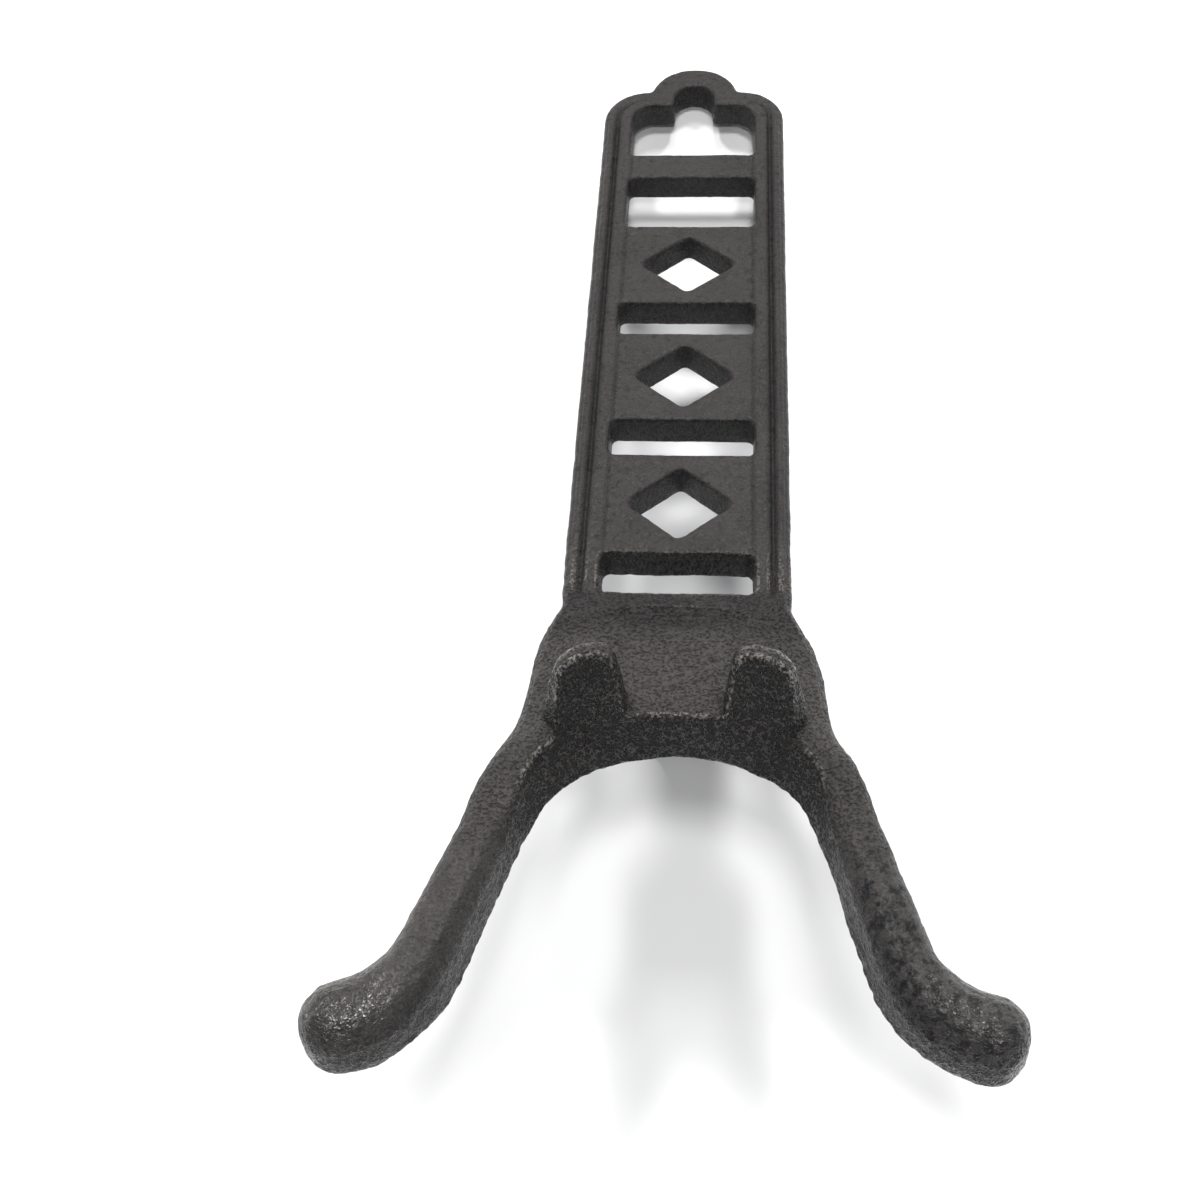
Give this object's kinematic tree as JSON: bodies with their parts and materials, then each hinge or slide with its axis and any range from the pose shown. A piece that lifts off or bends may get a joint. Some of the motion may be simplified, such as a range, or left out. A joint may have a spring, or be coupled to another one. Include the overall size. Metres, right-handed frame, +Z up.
{
  "type": "boot jack",
  "caption": "One-piece cast-iron boot jack: a pierced plate with a trefoil hanging eye rests on its tail and a tapered leg, and ends in a splayed heel fork with two upright lugs.",
  "frame": {"origin": "middle of the footprint, on the floor that the tail's lower edge and the leg's foot rest on", "axes": "+Z up, +Y along the plate towards its tail, so the heel fork faces -Y, and +X to the right seen from the fork"},
  "size_m": [0.124, 0.2566, 0.0715],
  "materials": {
    "cast_iron": "brown-black satin paint over a pebbly sand-cast skin"
  },
  "bodies": {
    "root": {"tail_arch": "cast_iron", "tail_crossbar": "cast_iron", "left_rail": "cast_iron", "right_rail": "cast_iron", "tail_panel": "cast_iron", "middle_panel": "cast_iron", "near_panel": "cast_iron", "neck_deck": "cast_iron", "left_heel_lug": "cast_iron", "right_heel_lug": "cast_iron", "left_arm": "cast_iron", "right_arm": "cast_iron", "left_arm_tip": "cast_iron", "right_arm_tip": "cast_iron", "leg": "cast_iron"}
  },
  "joints": []
}
